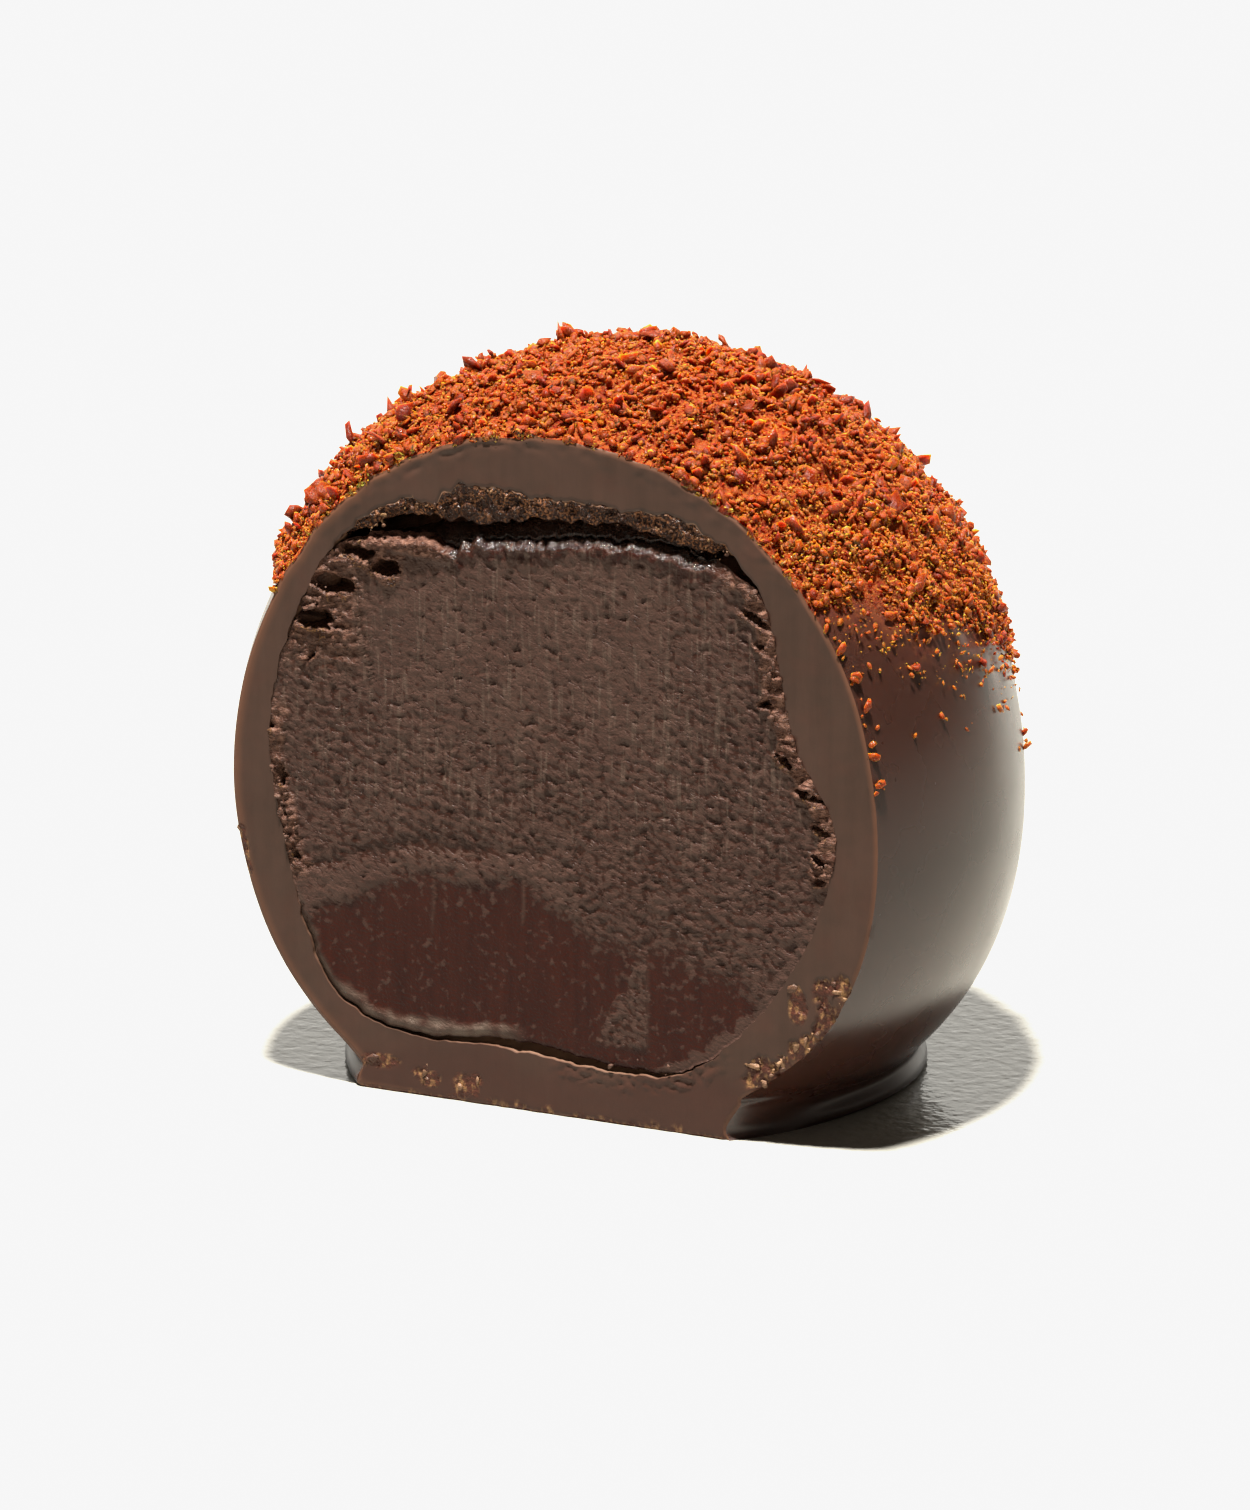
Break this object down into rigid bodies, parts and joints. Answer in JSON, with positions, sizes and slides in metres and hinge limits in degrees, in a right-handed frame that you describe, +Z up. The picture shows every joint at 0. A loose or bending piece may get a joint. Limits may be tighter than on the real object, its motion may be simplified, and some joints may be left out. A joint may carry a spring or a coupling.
{
  "type": "chocolate truffle",
  "caption": "Round dark chocolate truffle on a small foot, cut open in front: shell round a soft filling, with chilli flakes stuck over the crown.",
  "frame": {"origin": "on the underside of the foot, below the middle of the ball", "axes": "+Z up through the crown; the flat cut faces -Y; +X to the right when looking at the cut"},
  "size_m": [0.03, 0.022, 0.0283],
  "materials": {
    "chocolate_shell": "set dark chocolate, glossy outside and waxy where cut, with red and golden chilli flakes on the crown",
    "ganache": "soft dark chocolate filling, cut with a knife, dull and finely wrinkled",
    "chilli_flakes": "dried crushed chilli, orange to deep red with golden grains; it lies on the shell and is fused to it in the solids"
  },
  "bodies": {
    "root": {"shell": "chocolate_shell", "ganache": "ganache"}
  },
  "joints": []
}
